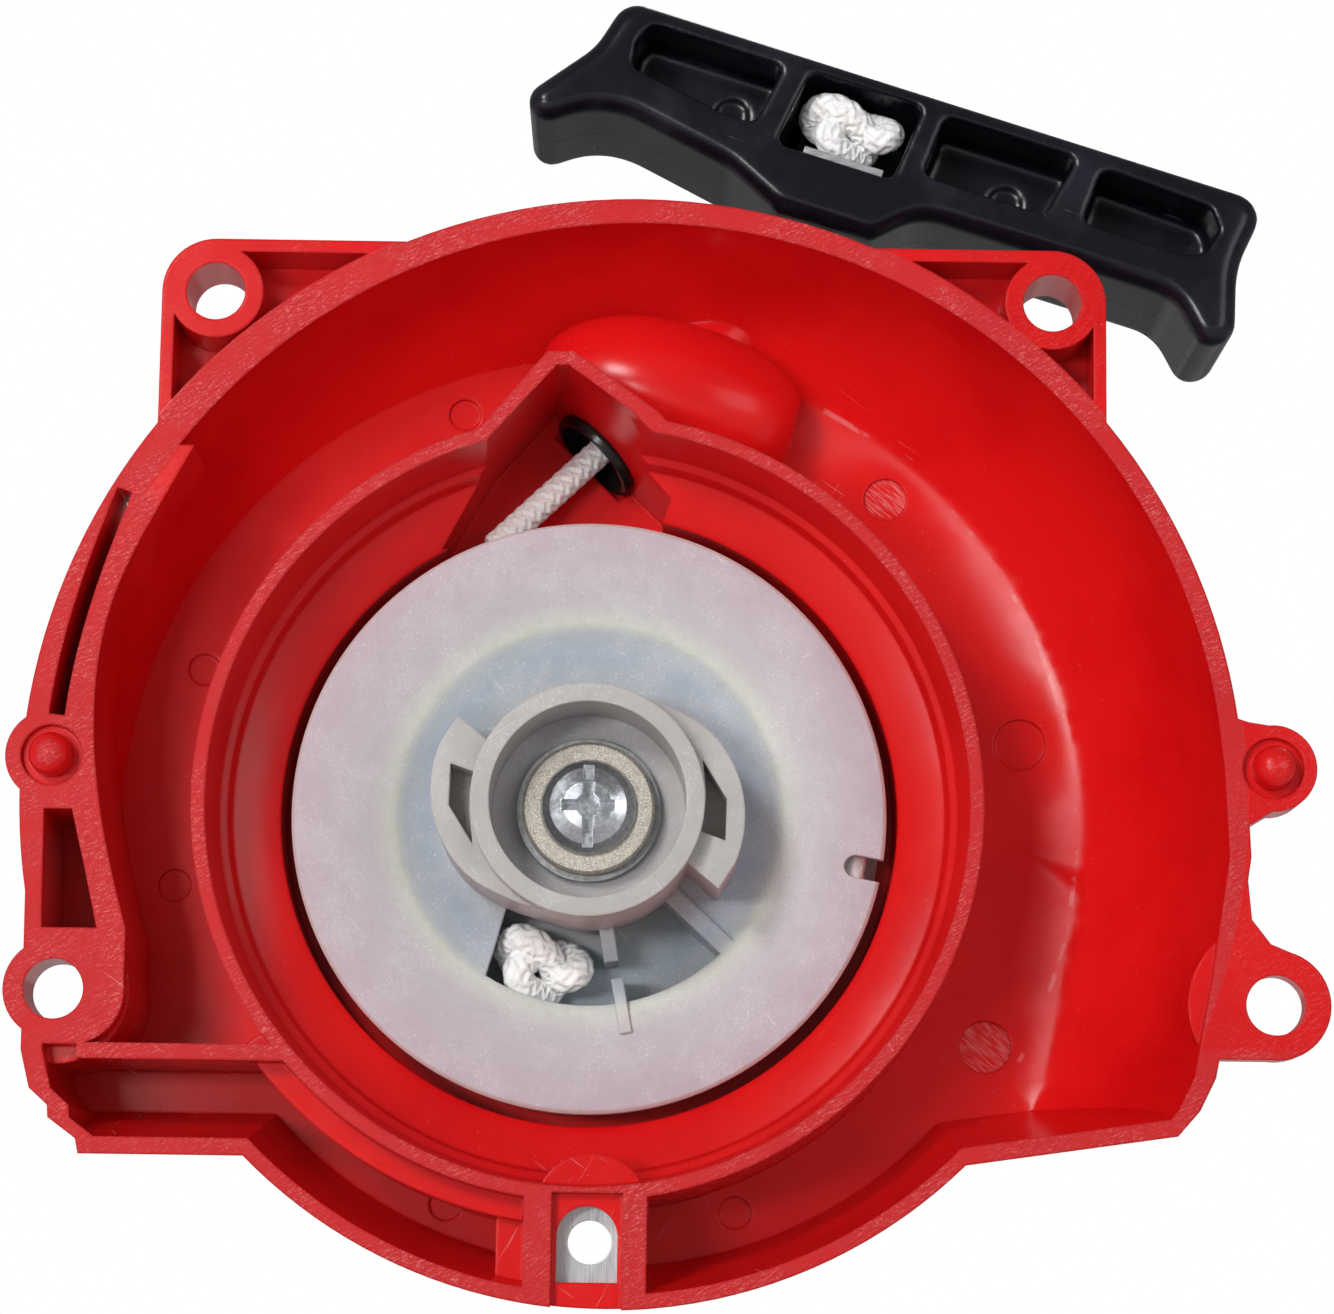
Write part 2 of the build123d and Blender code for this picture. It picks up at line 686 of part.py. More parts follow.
def knot(centre, length, radius, lean):
    """Outer shape of a tight knot: a short bar with rounded ends, leaning in the XZ plane."""
    direction = Vector(cos(radians(lean)), 0, sin(radians(lean)))
    plane = Plane(origin=Vector(*centre) - direction * (length / 2), z_dir=direction)
    bar = plane * extrude(Circle(radius), length)
    return fillet(bar.edges().filter_by(GeomType.CIRCLE), radius * 0.8)


def rope_guide():
    """Flanged bush with a funnel mouth, pressed into the ring."""
    points = [
        (2.3, GUIDE_LENGTH),
        (GUIDE_TUBE_R, GUIDE_LENGTH),
        (GUIDE_TUBE_R, 0.0),
        (GUIDE_FLANGE_R - 0.1, 0.0),
        (GUIDE_FLANGE_R, -0.5),
        (GUIDE_FLANGE_R - 0.3, -GUIDE_FLANGE),
        (GUIDE_FLANGE_R - 0.9, -GUIDE_FLANGE),
        (3.0, 0.4),
        (2.3, 2.2),
    ]
    profile = make_face(Polyline(*points, close=True))
    axis_plane = Plane(origin=GUIDE, x_dir=GUIDE_PLANE.x_dir, z_dir=GUIDE_PLANE.x_dir.cross(PULL))
    return revolve(axis_plane * profile, Axis(GUIDE, PULL))


def clamp_plate():
    plate = prism(
        [(-3.4, -42.6), (4.7, -42.6), (4.7, -51.5), (-3.4, -51.5)], CLAMP_Y, CLAMP_Y + CLAMP_THICKNESS
    )
    return plate - disc(CLAMP_HOLE, 2.35, CLAMP_Y, CLAMP_Y + CLAMP_THICKNESS)


# ---------------------------------------------------------------- handle


def grip_slab(face, front, back):
    """Solid from a face drawn as (u, v), between two distances from the grip's middle."""
    angle = radians(GRIP_TILT)
    plane = Plane(
        origin=(GRIP[0], GRIP_MID_Y + front, GRIP[1]), x_dir=(cos(angle), 0, -sin(angle)), z_dir=(0, -1, 0)
    )
    return extrude(plane * face, amount=-(back - front))


GRIP_CORNERS = (
    # (u, v, corner radius), clockwise from the top left
    (-29.4, 6.8, 3.0),
    (47.8, 6.8, 3.0),
    (46.6, -1.6, 12.0),
    (48.8, -9.6, 2.6),
    (45.6, -12.2, 2.4),
    (40.6, -7.2, 6.0),
    (10.5, -7.2, 6.0),
    (6.0, -11.6, 1.0),
    (-5.6, -11.6, 1.0),
    (-12.5, -8.4, 8.0),
    (-24.5, -6.2, 12.0),
    (-29.0, -6.4, 10.0),
    (-34.4, -10.4, 2.2),
    (-37.0, -7.6, 2.2),
    (-31.0, 0.4, 8.0),
)


def grip_outline():
    points = [(u, v) for u, v, _ in GRIP_CORNERS]
    radii = [radius for _, _, radius in GRIP_CORNERS]
    return make_face(FilletPolyline(*points, radius=radii, close=True))


POCKET_DEPTH = 9.5
KNOT_POCKET = 1  # the pocket that holds the knot is the second one, and is deeper
KNOT_POCKET_DEPTH = 19.0
GRIP_PIN_MARKS = ((-14.2, -0.2), (19.2, -0.4))
GRIP_POCKETS = (
    ((-26.6, 2.0), (-25.6, 4.6), (-9.6, 4.6), (-10.8, -2.8), (-14.0, -3.0), (-26.0, -1.0)),
    ((-6.4, 5.0), (7.0, 5.0), (6.2, -4.4), (-7.8, -4.4)),
    ((9.8, 4.7), (25.6, 4.7), (23.9, -2.9), (9.3, -2.8)),
    ((28.6, 4.4), (41.6, 3.8), (43.4, 1.6), (42.6, -1.6), (40.4, -2.5), (28.3, -2.4)),
)


def handle_grip():
    """T handle: a rounded bar with four pockets in front, and a short stem for the rope."""
    half = GRIP_DEPTH / 2
    body = grip_slab(grip_outline(), -half, half)
    ends = body.faces().sort_by(Axis.Y)
    body = fillet(ends[0].edges() + ends[-1].edges(), GRIP_EDGE)
    for index, points in enumerate(GRIP_POCKETS):
        depth = KNOT_POCKET_DEPTH if index == KNOT_POCKET else POCKET_DEPTH
        pocket = make_face(Polyline(*points, close=True))
        pocket = fillet(pocket.vertices(), 1.0)
        body -= grip_slab(pocket, -half - 1, depth - half)
    for u, v in GRIP_PIN_MARKS:
        body -= grip_slab(Pos(u, v) * Circle(2.1), POCKET_DEPTH - half - 0.1, POCKET_DEPTH - half + 0.5)
    stem = Plane(origin=grip_point(0.2, -4.0), z_dir=grip_point(0.2, -13.0) - grip_point(0.2, -4.0))
    body -= stem * extrude(Circle(ROPE_R + 0.5), 12)
    return body


def handle_washer():
    """Small steel plate that the knot pulls against."""
    plate = Plane(
        origin=grip_point(KNOT_U, WASHER_V),
        x_dir=grip_point(1, 0) - grip_point(0, 0),
        z_dir=grip_point(0, 1) - grip_point(0, 0),
    )
    face = Pos(0, -WASHER_FORWARD) * Rectangle(*WASHER_SIZE) - Circle(ROPE_R + 0.1)
    return extrude(plate * face, -WASHER)


def parts():
    return {
        **housing_parts(),
        **reel_parts(),
        "rope_guide": rope_guide(),
        "clamp_plate": clamp_plate(),
        "post_insert": post_insert(),
        "reel_screw": reel_screw(),
        "reel_collar": reel_collar(),
        "thrust_washer": thrust_washer(),
        "spring_cassette": spring_cassette(),
        "recoil_spring": recoil_spring(),
        "rope_coil": rope_coil(),
        "reel_knot": knot(REEL_KNOT, 10.0, 3.5, -20),
        "rope_run": rope_run(),
        "rope_tail": rope_tail(),
        "handle_knot": knot(grip_point(KNOT_U, WASHER_V + 4.2), 10.4, 4.1, -GRIP_TILT),
        "handle_washer": handle_washer(),
        "handle_grip": handle_grip(),
    }


os.makedirs("parts", exist_ok=True)
for node, shape in parts().items():
    export_step(shape, f"parts/{node}.step")
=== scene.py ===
"""Looks, light and camera for the recoil starter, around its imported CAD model.

Lengths are in metres unless a name or comment says otherwise. The origin is on the reel's axis in the
mounting plane, with +X to the right, +Z up, and +Y into the housing, away from the engine.
"""

import math

import bmesh
import bpy
from mathutils import Matrix, Vector


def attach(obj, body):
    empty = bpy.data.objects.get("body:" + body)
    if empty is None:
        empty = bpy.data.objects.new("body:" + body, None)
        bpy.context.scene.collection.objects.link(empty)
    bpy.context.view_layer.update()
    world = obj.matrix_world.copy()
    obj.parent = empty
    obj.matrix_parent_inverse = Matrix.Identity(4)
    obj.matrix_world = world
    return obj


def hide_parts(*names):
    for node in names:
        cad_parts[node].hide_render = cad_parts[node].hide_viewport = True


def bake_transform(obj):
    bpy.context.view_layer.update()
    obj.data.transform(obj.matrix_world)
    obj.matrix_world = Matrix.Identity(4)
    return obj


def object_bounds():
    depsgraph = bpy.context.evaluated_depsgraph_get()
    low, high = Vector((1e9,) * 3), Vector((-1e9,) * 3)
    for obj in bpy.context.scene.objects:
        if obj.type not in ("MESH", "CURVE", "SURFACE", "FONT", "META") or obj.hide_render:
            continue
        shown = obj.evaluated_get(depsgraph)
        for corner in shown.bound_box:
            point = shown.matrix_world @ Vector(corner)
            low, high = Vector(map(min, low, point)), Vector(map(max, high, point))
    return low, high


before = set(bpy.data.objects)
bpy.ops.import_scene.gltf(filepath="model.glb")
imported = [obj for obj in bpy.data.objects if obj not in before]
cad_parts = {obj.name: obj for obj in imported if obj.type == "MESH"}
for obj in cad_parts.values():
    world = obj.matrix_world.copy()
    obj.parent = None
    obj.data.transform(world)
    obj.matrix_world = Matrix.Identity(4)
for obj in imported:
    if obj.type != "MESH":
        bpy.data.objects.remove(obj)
cad_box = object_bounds()

MM = 0.001

# Places shared with the CAD part
GUIDE = Vector((0.4, 20.2, 42.7)) * MM
PULL_TILT = math.radians(8.0)
PULL_ANGLE = math.radians(45.0)
PULL = Vector(
    (
        math.cos(PULL_TILT) * math.cos(PULL_ANGLE),
        math.sin(PULL_TILT),
        math.cos(PULL_TILT) * math.sin(PULL_ANGLE),
    )
)
ROPE_R = 1.5 * MM
RUN_START = -16.8 * MM  # along the rope from the guide: where the rope leaves the coil
SPAN_START = 4.0 * MM  # inside the guide
SPAN_END = 33.4 * MM
STEM_MOUTH = 35.6 * MM
RING_R = 42.7
GRIP_TILT = math.radians(17.3)
GRIP_MID = Vector((28.7, 25.2, 79.7)) * MM
GROOVE_MIDDLE_Y = 17.3 * MM


# ---------------------------------------------------------------- node helpers


class Paint:
    """One material, with short calls that add shader nodes to it."""

    def __init__(self, name, roughness=0.5, metallic=0.0, specular=0.5):
        self.material = bpy.data.materials.new(name)
        self.material.use_nodes = True
        self.tree = self.material.node_tree
        self.tree.nodes.clear()
        output = self.tree.nodes.new("ShaderNodeOutputMaterial")
        self.shader = self.tree.nodes.new("ShaderNodeBsdfPrincipled")
        self.tree.links.new(self.shader.outputs[0], output.inputs[0])
        self.set("Roughness", roughness)
        self.set("Metallic", metallic)
        self.set("Specular IOR Level", specular)
        coordinates = self.tree.nodes.new("ShaderNodeTexCoord")
        self.normal = coordinates.outputs["Normal"]
        scaled = self.tree.nodes.new("ShaderNodeVectorMath")
        scaled.operation = "SCALE"
        self.tree.links.new(coordinates.outputs["Object"], scaled.inputs[0])
        scaled.inputs["Scale"].default_value = 1 / MM
        self.place = scaled.outputs[0]  # position in millimetres
        self.x, self.y, self.z = self.parts_of(self.place)

    def put(self, socket, value):
        if isinstance(value, bpy.types.NodeSocket):
            self.tree.links.new(value, socket)
        elif isinstance(value, (tuple, list)) and len(value) == 3 and socket.type == "RGBA":
            socket.default_value = (*value, 1.0)
        else:
            socket.default_value = value

    def set(self, name, value):
        self.put(self.shader.inputs[name], value)

    def parts_of(self, vector):
        node = self.tree.nodes.new("ShaderNodeSeparateXYZ")
        self.put(node.inputs[0], vector)
        return node.outputs

    def math(self, operation, a, b=0.0):
        node = self.tree.nodes.new("ShaderNodeMath")
        node.operation = operation
        self.put(node.inputs[0], a)
        self.put(node.inputs[1], b)
        return node.outputs[0]

    def product(self, first, *others):
        result = first
        for other in others:
            result = self.math("MULTIPLY", result, other)
        return result

    def step(self, value, low, high):
        """0 below low, 1 above high, smooth between; low may be above high."""
        node = self.tree.nodes.new("ShaderNodeMapRange")
        node.interpolation_type = "SMOOTHSTEP"
        self.put(node.inputs["Value"], value)
        flipped = low > high
        node.inputs["From Min"].default_value = min(low, high)
        node.inputs["From Max"].default_value = max(low, high)
        node.inputs["To Min"].default_value = 1.0 if flipped else 0.0
        node.inputs["To Max"].default_value = 0.0 if flipped else 1.0
        return node.outputs[0]

    def window(self, value, low, high, soft):
        """1 between low and high, 0 outside."""
        return self.product(self.step(value, low - soft, low), self.step(value, high + soft, high))

    def span(self, value, low, high):
        """Value from 0..1 stretched to low..high."""
        node = self.tree.nodes.new("ShaderNodeMapRange")
        self.put(node.inputs["Value"], value)
        node.inputs["To Min"].default_value = low
        node.inputs["To Max"].default_value = high
        return node.outputs[0]

    def radius(self, centre=(0.0, 0.0)):
        """Distance from a Y axis through centre, in millimetres."""
        dx = self.math("SUBTRACT", self.x, centre[0])
        dz = self.math("SUBTRACT", self.z, centre[1])
        return self.math("SQRT", self.math("ADD", self.product(dx, dx), self.product(dz, dz)))

    def scaled(self, sx, sy, sz, turn=(0.0, 0.0, 0.0)):
        """Position turned, then multiplied along each axis."""
        node = self.tree.nodes.new("ShaderNodeMapping")
        node.vector_type = "TEXTURE"
        self.put(node.inputs["Vector"], self.place)
        node.inputs["Rotation"].default_value = [math.radians(t) for t in turn]
        node.inputs["Scale"].default_value = (1 / sx, 1 / sy, 1 / sz)
        return node.outputs[0]

    def noise(self, scale, vector=None, detail=3.0, roughness=0.55):
        node = self.tree.nodes.new("ShaderNodeTexNoise")
        self.put(node.inputs["Vector"], vector or self.place)
        node.inputs["Scale"].default_value = scale
        node.inputs["Detail"].default_value = detail
        node.inputs["Roughness"].default_value = roughness
        return node.outputs[0]

    def cells(self, scale):
        """Distance to the middle of the nearest cell, in cells."""
        node = self.tree.nodes.new("ShaderNodeTexVoronoi")
        self.put(node.inputs["Vector"], self.place)
        node.inputs["Scale"].default_value = scale
        return node.outputs["Distance"]

    def mix(self, factor, a, b):
        node = self.tree.nodes.new("ShaderNodeMix")
        node.data_type = "RGBA"
        self.put(node.inputs[0], factor)
        self.put(node.inputs[6], a)
        self.put(node.inputs[7], b)
        return node.outputs[2]

    def ramp(self, value, stops):
        """Colours along a value, from (position, colour) pairs."""
        node = self.tree.nodes.new("ShaderNodeValToRGB")
        elements = node.color_ramp.elements
        while len(elements) < len(stops):
            elements.new(0.5)
        for element, (position, colour) in zip(elements, stops):
            element.position = position
            element.color = (*colour, 1.0)
        self.put(node.inputs[0], value)
        return node.outputs[0]

    def rounded(self, radius):
        """Normal that rounds sharp edges by a radius in metres."""
        node = self.tree.nodes.new("ShaderNodeBevel")
        node.samples = 4
        node.inputs["Radius"].default_value = radius
        return node.outputs[0]

    def bump(self, height, distance, normal=None, strength=1.0):
        """Relief; distance is the height in metres of a full step."""
        node = self.tree.nodes.new("ShaderNodeBump")
        node.inputs["Strength"].default_value = strength
        node.inputs["Distance"].default_value = distance
        self.put(node.inputs["Height"], height)
        if normal is not None:
            self.put(node.inputs["Normal"], normal)
        return node.outputs[0]

    def scratches(self, density, direction):
        """Thin straight scratches, mostly one way, as a 0..1 mask."""
        lines = self.noise(1.0, self.scaled(0.12, 0.12, 3.2, (0, direction, 0)), detail=2.0)
        return self.step(lines, 0.72 - density, 0.76 - density)


# ---------------------------------------------------------------- materials

RED = (0.70, 0.008, 0.009)
DEEP_RED = (0.60, 0.004, 0.006)
WORN_PINK = (0.50, 0.012, 0.014)
# Pale colour of the real wear, also used for the painted highlight arc on the floor's edge.
WEAR_AND_HIGHLIGHT_WHITE = (0.74, 0.21, 0.21)
OUTER_WALL = (4.8, 1.0)  # centre of the outer wall's rim, in millimetres
OUTER_WALL_R = 65.9
FLOOR_DISCS = (((33.1, 38.0), 2.4), ((44.6, -24.3), 2.9))  # scuffed ejector marks: centre and radius
HIGHLIGHT_ARC_R = 54.85  # painted highlight: pale arc on the floor's edge, about the reel's axis


def sawn_rims(paint, facing):
    """Mask of the rims that were trimmed flat: strong on the walls, faint on the ears."""
    level = paint.product(facing, paint.step(paint.y, 0.45, 0.2))
    outer = paint.window(paint.radius(OUTER_WALL), OUTER_WALL_R - 3.4, OUTER_WALL_R + 0.2, 0.3)
    ring = paint.step(paint.radius(), RING_R + 8.0, RING_R + 7.0)
    left = paint.product(paint.step(paint.x, -46.5, -48.0), paint.step(paint.z, 34.0, 32.0))
    low = paint.step(paint.z, -25.0, -27.0)
    walls = paint.math("MAXIMUM", paint.math("MAXIMUM", outer, ring), paint.math("MAXIMUM", left, low))
    return paint.product(level, paint.span(walls, 0.28, 1.0))


def worn_zones(paint, facing):
    """Mask of the places that were rubbed: right of the rope outlet, and round the lower edge."""
    outlet = paint.product(facing, paint.step(paint.radius((28.0, 43.0)), 10.0, 4.0))
    corner = paint.step(paint.radius((-52.0, -27.0)), 15.0, 6.0)
    block = paint.step(paint.radius((0.5, -46.0)), 11.0, 5.0)
    lip = paint.product(paint.step(paint.radius((17.0, -49.0)), 11.0, 4.0), paint.step(paint.y, 9.0, 3.0))
    return paint.math("MAXIMUM", paint.math("MAXIMUM", outlet, corner), paint.math("MAXIMUM", lip, block))


def red_plastic():
    """Glossy red moulding with sawn, speckled rims, scuffs, worn marks on the floor, and a painted
    highlight arc along the floor's edge.
    """
    paint = Paint("red_plastic", specular=0.25)
    facing = paint.step(paint.parts_of(paint.normal)[1], -0.75, -0.92)
    mottle = paint.noise(0.05, detail=3.0)
    colour = paint.mix(paint.step(mottle, 0.4, 0.75), RED, DEEP_RED)

    rim = sawn_rims(paint, facing)
    hatch = paint.noise(1.0, paint.scaled(0.8, 0.8, 4.6, (0, -28, 0)), detail=3.0, roughness=0.7)
    speckle = paint.noise(4.0, detail=2.0, roughness=0.7)
    patch = paint.noise(0.11, detail=2.0)
    grain = paint.product(paint.step(hatch, 0.46, 0.66), paint.step(speckle, 0.40, 0.6))
    rim_colour = paint.mix(paint.product(grain, paint.step(patch, 0.32, 0.62)), WORN_PINK, WEAR_AND_HIGHLIGHT_WHITE)
    colour = paint.mix(paint.product(rim, paint.span(patch, 0.45, 1.0)), colour, rim_colour)

    fine = paint.scratches(0.03, 35.0)
    other = paint.scratches(0.01, -60.0)
    marks = paint.product(
        paint.math("MAXIMUM", fine, other),
        paint.span(worn_zones(paint, facing), 0.03, 0.75),
        paint.step(patch, 0.3, 0.5),
    )
    colour = paint.mix(marks, colour, WEAR_AND_HIGHLIGHT_WHITE)

    for centre, radius in FLOOR_DISCS:
        inside = paint.product(
            paint.step(paint.radius(centre), radius + 0.1, radius - 0.2), paint.step(paint.y, 20.0, 21.5)
        )
        lines = paint.noise(1.0, paint.scaled(0.5, 0.5, 6.0, (0, 40, 0)), detail=2.0)
        colour = paint.mix(paint.product(inside, paint.step(lines, 0.4, 0.7), 0.8), colour, WEAR_AND_HIGHLIGHT_WHITE)

    # Painted highlight: a pale line along the floor's edge at the foot of the outer wall, on the right.
    crease_highlight = paint.product(
        paint.window(paint.radius(), HIGHLIGHT_ARC_R - 0.15, HIGHLIGHT_ARC_R + 0.15, 0.2),
        paint.step(paint.noise(0.25, detail=3.0), 0.5, 0.62),
        paint.step(paint.y, 18.0, 20.0),
        paint.step(paint.x, 10.0, 30.0),
    )
    colour = paint.mix(paint.product(crease_highlight, 0.6), colour, WEAR_AND_HIGHLIGHT_WHITE)
    dust = paint.step(paint.cells(0.55), 0.05, 0.03)
    colour = paint.mix(paint.product(dust, 0.35), colour, (0.80, 0.30, 0.28))
    paint.set("Base Color", colour)
    smooth = paint.span(paint.noise(0.22, detail=4.0), 0.16, 0.30)
    paint.set("Roughness", paint.math("MAXIMUM", smooth, paint.product(rim, 0.55)))
    relief = paint.math("ADD", paint.product(rim, hatch), paint.product(marks, -0.5))
    waves = paint.bump(paint.noise(0.3, detail=2.0), 0.00003, paint.rounded(0.45 * MM), 0.5)
    paint.set("Normal", paint.bump(relief, 0.00012, waves, 0.7))
    paint.set("Subsurface Weight", 0.06)
    paint.set("Subsurface Radius", (1.0, 0.08, 0.05))
    paint.set("Subsurface Scale", 1.5 * MM)
    return paint.material


def nylon():
    """Translucent natural nylon: pinkish at the flange, bluish in the dish, greyer at the cup."""
    paint = Paint("nylon", specular=0.35)
    body = paint.ramp(
        paint.math("DIVIDE", paint.radius(), 34.0),
        (
            (0.36, (0.42, 0.42, 0.42)),
            (0.44, (0.38, 0.42, 0.45)),
            (0.53, (0.36, 0.42, 0.49)),
            (0.60, (0.42, 0.47, 0.50)),
            (0.635, (0.60, 0.62, 0.56)),
            (0.71, (0.52, 0.49, 0.51)),
            (0.95, (0.50, 0.42, 0.47)),
            (0.985, (0.76, 0.70, 0.62)),
        ),
    )
    wall = paint.step(paint.y, 12.0, 9.0)
    colour = paint.mix(wall, body, (0.45, 0.43, 0.41))
    inside = paint.product(wall, paint.step(paint.radius(), 10.9, 10.5))
    colour = paint.mix(inside, colour, (0.46, 0.445, 0.44))
    cloud = paint.noise(0.16, detail=4.0, roughness=0.6)
    colour = paint.mix(paint.product(paint.step(cloud, 0.42, 0.68), 0.22), colour, (0.66, 0.66, 0.68))
    mottle = paint.noise(0.9, detail=4.0, roughness=0.65)
    colour = paint.mix(paint.product(paint.step(mottle, 0.50, 0.36), 0.10), colour, (0.30, 0.28, 0.30))
    specks = paint.step(paint.noise(3.4, detail=2.0, roughness=0.7), 0.58, 0.68)
    flecks = paint.product(specks, paint.step(cloud, 0.40, 0.56))
    colour = paint.mix(paint.product(flecks, 0.32), colour, (0.90, 0.88, 0.90))
    rubbed = paint.math("MAXIMUM", paint.scratches(0.02, 50.0), paint.scratches(0.0, -35.0))
    rubbed = paint.product(rubbed, paint.step(cloud, 0.44, 0.58))
    colour = paint.mix(paint.product(rubbed, 0.4), colour, (0.88, 0.87, 0.86))
    paint.set("Base Color", colour)
    paint.set("Roughness", paint.span(mottle, 0.26, 0.52))
    paint.set("Subsurface Weight", 0.3)
    paint.set("Subsurface Radius", (1.0, 0.85, 0.8))
    paint.set("Subsurface Scale", 1.2 * MM)
    relief = paint.math("ADD", paint.noise(2.6, detail=2.0), paint.product(rubbed, -0.6))
    paint.set("Normal", paint.bump(relief, 0.00005, paint.rounded(0.35 * MM), 0.7))
    return paint.material


def metal(name, colour, roughness, brushed=(1.0, 1.0, 1.0), spots=0.0, metallic=1.0):
    """Metal with fine lines or grain, slight stains and soft edges."""
    paint = Paint(name, metallic=metallic)
    lines = paint.noise(1.6, paint.scaled(*brushed), detail=4.0, roughness=0.7)
    stain = paint.noise(0.35, detail=3.0)
    darker = [part * 0.62 for part in colour]
    base = paint.mix(paint.step(lines, 0.3, 0.7), darker, colour)
    base = paint.mix(paint.span(stain, 0.0, 0.3), base, [part * 0.8 for part in colour])
    if spots:
        dots = paint.step(paint.noise(5.5, detail=2.0, roughness=0.8), 0.5, 0.62)
        base = paint.mix(paint.product(dots, spots), base, (0.93, 0.88, 0.76))
    paint.set("Base Color", base)
    paint.set("Roughness", paint.span(lines, roughness * 0.7, roughness * 1.3))
    paint.set("Normal", paint.bump(lines, 0.00002, paint.rounded(0.15 * MM), 0.5))
    return paint.material


def dark_plastic(name, colour, roughness, peel, edge, parting_y=None, specular=0.32):
    """Black moulding with a faint orange peel, scuffs and a parting line, with painted shade on its
    underside, where its reflection is turned down.
    """
    paint = Paint(name)
    # Painted shade: the reflection fades out on faces that look down, so the underside reads dark.
    underside_shade = paint.step(paint.parts_of(paint.normal)[2], -0.55, -0.85)
    paint.set("Specular IOR Level", paint.span(underside_shade, specular, 0.03))
    smear = paint.noise(0.12, detail=4.0, roughness=0.6)
    lighter = [part * 2.2 + 0.004 for part in colour]
    base = paint.mix(paint.step(smear, 0.45, 0.75), colour, lighter)
    fine = paint.math("MAXIMUM", paint.scratches(0.015, 70.0), paint.scratches(0.0, 20.0))
    fine = paint.product(fine, paint.step(smear, 0.48, 0.6))
    base = paint.mix(paint.product(fine, 0.35), base, (0.16, 0.16, 0.17))
    paint.set("Base Color", base)
    paint.set("Roughness", paint.span(paint.noise(0.5, detail=4.0), roughness * 0.75, roughness * 1.3))
    normal = paint.bump(paint.noise(1.1, detail=2.0), peel, paint.rounded(edge), 0.5)
    if parting_y is not None:
        line = paint.window(paint.y, parting_y - 0.06, parting_y + 0.06, 0.08)
        normal = paint.bump(line, 0.00008, normal, 0.8)
    paint.set("Normal", normal)
    return paint.material


def rope_fibre():
    """White braided nylon: fine yarns across the strands, with a pearly shine."""
    paint = Paint("rope", roughness=0.38)
    yarn = paint.noise(9.0, detail=2.0, roughness=0.6)
    dirt = paint.noise(0.5, detail=3.0)
    base = paint.mix(paint.step(yarn, 0.35, 0.65), (0.90, 0.90, 0.89), (0.98, 0.98, 0.97))
    base = paint.mix(paint.product(paint.step(dirt, 0.55, 0.75), 0.2), base, (0.70, 0.64, 0.56))
    paint.set("Base Color", base)
    paint.set("Sheen Weight", 0.2)
    paint.set("Normal", paint.bump(yarn, 0.00006, None, 0.6))
    return paint.material


def cover(obj, material):
    obj.data.materials.clear()
    obj.data.materials.append(material)


ROPE = rope_fibre()
RED_PLASTIC = red_plastic()
NYLON = nylon()
HOUSING_NODES = sorted(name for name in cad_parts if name.startswith("housing"))
GRIP_PLASTIC = dark_plastic(
    "grip_plastic", (0.005, 0.0055, 0.0090), 0.20, 0.00002, 0.3 * MM, GRIP_MID.y / MM, specular=0.28
)
NODE_MATERIALS = {
    **dict.fromkeys(HOUSING_NODES, RED_PLASTIC),
    "reel": NYLON,
    "ratchet_cup": NYLON,
    "rope_guide": dark_plastic("black_plastic", (0.008, 0.008, 0.008), 0.22, 0.00001, 0.3 * MM),
    "spring_cassette": dark_plastic("cassette_plastic", (0.012, 0.012, 0.013), 0.4, 0.00002, 0.3 * MM),
    "handle_grip": GRIP_PLASTIC,
    "clamp_plate": metal("zinc_plate", (0.70, 0.71, 0.72), 0.3, (3.0, 3.0, 0.15)),
    "reel_screw": metal("zinc", (0.74, 0.77, 0.82), 0.24, (1.2, 1.2, 1.2)),
    "handle_washer": metal("zinc_washer", (0.72, 0.73, 0.74), 0.3, (0.2, 3.0, 3.0)),
    "reel_collar": metal("sintered_bronze", (0.45, 0.41, 0.35), 0.5, spots=0.5, metallic=0.55),
    "thrust_washer": metal("steel", (0.42, 0.42, 0.43), 0.35),
    "recoil_spring": metal("spring_steel", (0.26, 0.28, 0.32), 0.3),
    "post_insert": metal("brass", (0.72, 0.54, 0.26), 0.35),
    "rope_coil": ROPE,
    "reel_knot": ROPE,
    "rope_run": ROPE,
    "rope_tail": ROPE,
    "handle_knot": ROPE,
}
for node, material in NODE_MATERIALS.items():
    cover(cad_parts[node], material)


# ---------------------------------------------------------------- mouldings in one piece

SHARP = math.radians(35)


def welded(source):
    """Copy of a CAD node's mesh with its split vertices joined."""
    mesh = source.data.copy()
    if "custom_normal" in mesh.attributes:
        mesh.attributes.remove(mesh.attributes["custom_normal"])
    work = bmesh.new()
    work.from_mesh(mesh)
    bmesh.ops.remove_doubles(work, verts=work.verts, dist=0.0005 * MM)
    work.to_mesh(mesh)
    work.free()
    piece = bpy.data.objects.new(source.name + "_copy", mesh)
    bpy.context.scene.collection.objects.link(piece)
    return piece


def fused(name, nodes, body):
    """One seamless moulding in place of CAD nodes that meet on flat faces."""
    piece, *others = [welded(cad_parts[node]) for node in nodes]
    piece.name = name
    for other in others:
        modifier = piece.modifiers.new(other.name, "BOOLEAN")
        modifier.operation = "UNION"
        modifier.solver = "EXACT"
        modifier.object = other
    graph = bpy.context.evaluated_depsgraph_get()
    mesh = bpy.data.meshes.new_from_object(piece.evaluated_get(graph))
    piece.modifiers.clear()
    piece.data = mesh
    mesh.shade_smooth()
    mesh.set_sharp_from_angle(angle=SHARP)
    for other in others:
        bpy.data.objects.remove(other)
    cover(piece, NODE_MATERIALS[nodes[0]])
    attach(piece, body)
    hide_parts(*nodes)
    return piece


fused("red_moulding", HOUSING_NODES, "housing")
fused("reel_moulding", ("reel", "ratchet_cup"), "reel")


